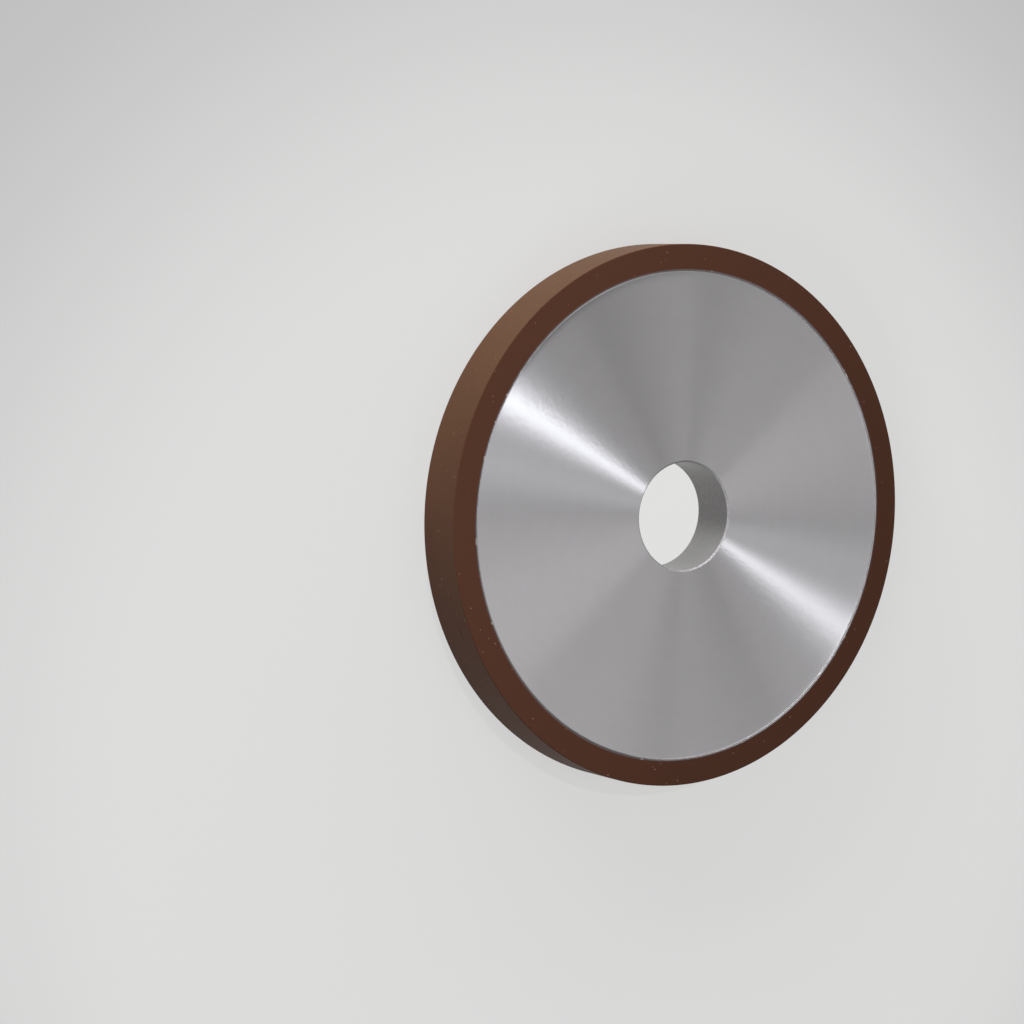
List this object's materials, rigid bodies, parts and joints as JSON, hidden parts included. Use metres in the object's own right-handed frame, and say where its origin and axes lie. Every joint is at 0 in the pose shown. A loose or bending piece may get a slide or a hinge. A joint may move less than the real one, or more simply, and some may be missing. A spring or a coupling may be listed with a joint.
{
  "type": "resin bond diamond wheel",
  "caption": "Straight grinding wheel: a turned aluminium disc with a round arbor hole and a brown resin bond diamond ring moulded round its edge.",
  "frame": {"origin": "centre of the arbor bore, halfway through the wheel's width", "axes": "+Z along the bore axis, out of the front face; the wheel lies flat in the XY plane"},
  "size_m": [0.1, 0.1, 0.01],
  "materials": {
    "turned_aluminium": "satin, with fine circular turning marks",
    "resin_bond": "matt dark brown with sparse diamond grit"
  },
  "bodies": {
    "root": {"aluminium_core": "turned_aluminium", "diamond_rim": "resin_bond"}
  },
  "joints": []
}
